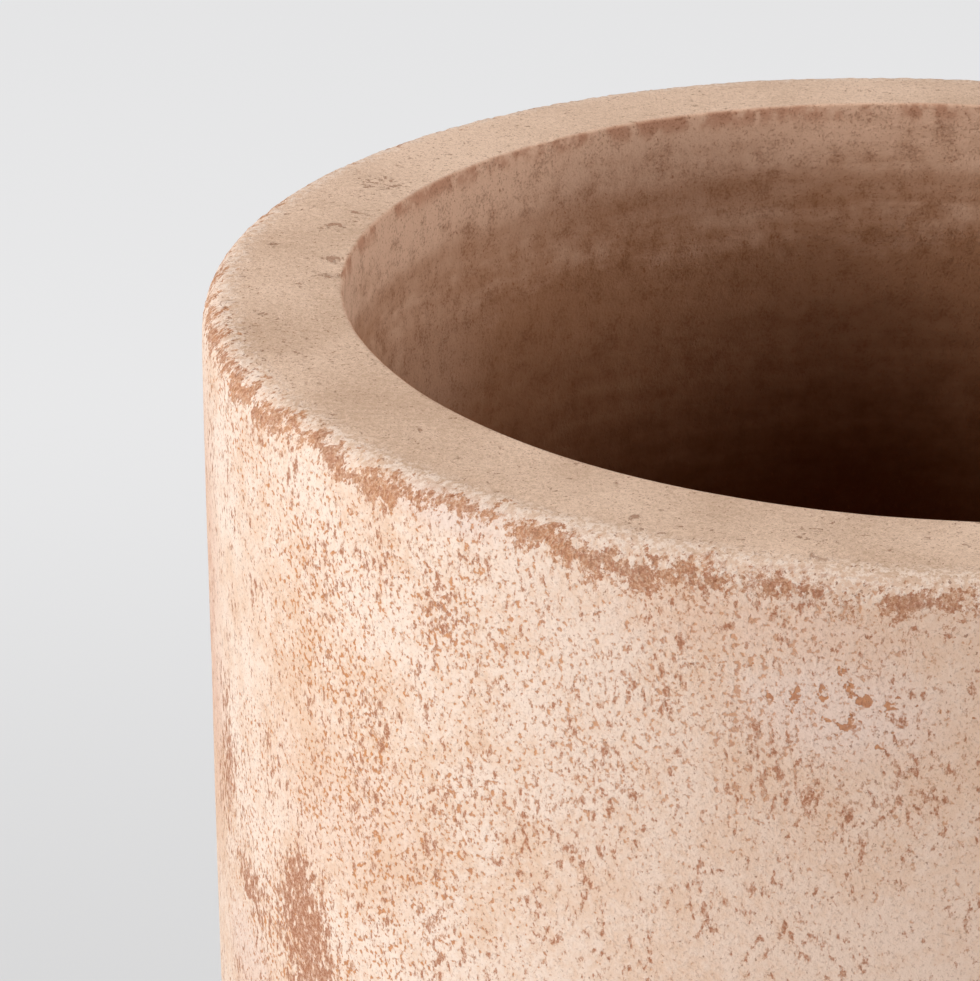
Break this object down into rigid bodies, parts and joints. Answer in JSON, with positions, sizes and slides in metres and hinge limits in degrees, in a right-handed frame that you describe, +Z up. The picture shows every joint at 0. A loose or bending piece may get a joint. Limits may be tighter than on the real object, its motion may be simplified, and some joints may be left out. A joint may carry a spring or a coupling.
{
  "type": "cylinder planter",
  "caption": "Thick-walled clay cylinder planter with a flat rim, a coved inside, rubber floor pads and a pull-out drain plug.",
  "frame": {"origin": "on the ground, under the middle of the pot, in the plane of the pads' undersides", "axes": "+Z up along the pot's axis; the gap of the plug's pull loop runs along Y"},
  "size_m": [0.3998, 0.3998, 0.4],
  "materials": {
    "washed_clay": "matte",
    "plug_rubber": "matte",
    "pad_rubber": "matte"
  },
  "bodies": {
    "pot": {"clay_body": "washed_clay", "floor_pad_1": "pad_rubber", "floor_pad_2": "pad_rubber", "floor_pad_3": "pad_rubber", "floor_pad_4": "pad_rubber"},
    "plug": {"drain_plug": "plug_rubber"}
  },
  "joints": [
    {"name": "plug_lift", "type": "slide", "parent": "pot", "child": "plug", "axis": [0, 0, 1], "range_m": [0, 0.41]}
  ]
}
